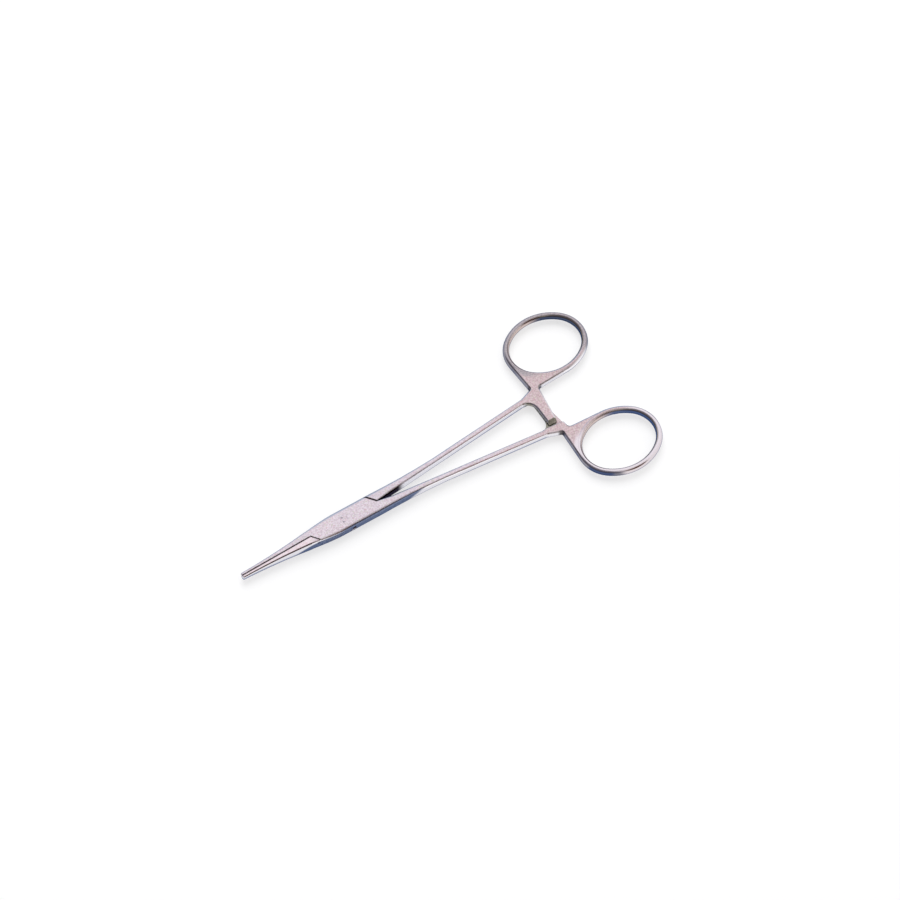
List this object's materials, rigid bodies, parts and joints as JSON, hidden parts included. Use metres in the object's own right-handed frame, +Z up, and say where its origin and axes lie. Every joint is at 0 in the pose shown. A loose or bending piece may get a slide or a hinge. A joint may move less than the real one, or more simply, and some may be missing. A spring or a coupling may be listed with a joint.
{
  "type": "hemostat forceps",
  "caption": "Slim locking surgical forceps with straight serrated jaws, a box lock hinge, tapering shanks, interlocking ratchet arms and oval finger rings.",
  "frame": {"origin": "on the hinge axis, at the underside of the box lock", "axes": "+X from the hinge to the finger rings, so the jaws point to -X; +Y towards the ring of the tongue half; +Z up along the hinge axis, out of the box lock's upper face"},
  "size_m": [0.1249, 0.0594, 0.0036],
  "materials": {
    "satin_steel": "satin",
    "pin_steel": "satin"
  },
  "bodies": {
    "female": {"box_half": "satin_steel", "box_lock_pin": "pin_steel"},
    "male": {"tongue_half": "satin_steel"}
  },
  "joints": [
    {"name": "box_lock_hinge", "type": "hinge", "parent": "female", "child": "male", "pos_m": [0, 0, 0.0018], "axis": [0, 0, 1], "range_deg": [0, 60]}
  ]
}
